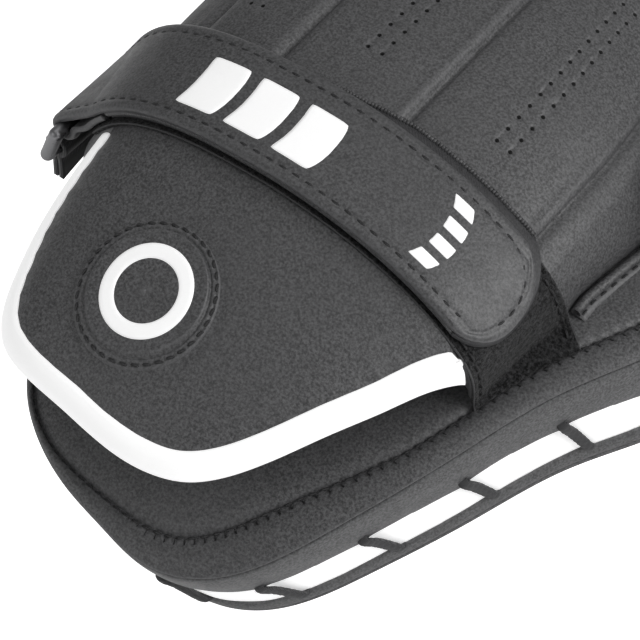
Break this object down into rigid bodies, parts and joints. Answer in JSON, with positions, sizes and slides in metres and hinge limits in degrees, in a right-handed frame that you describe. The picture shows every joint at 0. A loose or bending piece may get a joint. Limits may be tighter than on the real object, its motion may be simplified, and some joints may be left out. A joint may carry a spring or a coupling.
{
  "type": "curved focus mitt",
  "caption": "Left-hand curved focus mitt for boxing and kick drills, with a padded hand cover, a lifting wrist cuff, a hook-and-loop wrist strap and a laced white side band.",
  "frame": {"origin": "on the resting plane, under the middle of the pad", "axes": "+X to the thumb side, +Y to the fingertips, +Z from the strike face to the back of the hand"},
  "size_m": [0.1867, 0.2864, 0.1197],
  "materials": {
    "leather_black": "matte fine-grain synthetic leather",
    "leather_white": "smooth white synthetic leather",
    "foam": "closed-cell foam",
    "gel": "dull elastomer sheet",
    "mesh_lining": "woven mesh",
    "velour": "brushed loop pile",
    "cord": "braided cord",
    "print_white": "matte print film",
    "steel": "dark nickel"
  },
  "bodies": {
    "pad": {"strike_face": "leather_black", "lower_rim_band": "leather_black", "side_band": "leather_white", "upper_rim_band": "leather_black", "front_impact_foam": "foam", "shock_sheet": "gel", "middle_foam": "foam", "rear_foam": "foam", "back_panel": "leather_black", "bolster_roll": "leather_black", "rim_laces": "cord", "target_patch": "leather_black", "hand_cover_shell": "leather_black", "hand_cover_foam": "foam", "hand_cover_lining": "mesh_lining", "thumb_sleeve": "leather_black", "thumb_lining": "mesh_lining", "hand_cover_piping": "leather_black", "palm_dome": "mesh_lining", "loop_tape": "velour", "strap_ring": "steel", "ring_tab": "mesh_lining"},
    "cuff": {"cuff_shell": "leather_black", "cuff_foam": "foam", "cuff_lining": "mesh_lining", "cuff_binding": "leather_white", "emblem_patch": "leather_black", "emblem_ring": "print_white"},
    "strap": {"strap_face": "leather_black", "strap_backing": "leather_black", "hook_tape": "velour", "strap_marks": "print_white"}
  },
  "joints": [
    {"name": "strap_peel", "type": "hinge", "parent": "pad", "child": "strap", "pos_m": [-0.0646, -0.056, 0.086], "axis": [0, -1, 0], "range_deg": [0, 110]},
    {"name": "cuff_lift", "type": "hinge", "parent": "pad", "child": "cuff", "pos_m": [-0.001, -0.0744, 0.1075], "axis": [-1, 0, 0], "range_deg": [0, 28]}
  ]
}
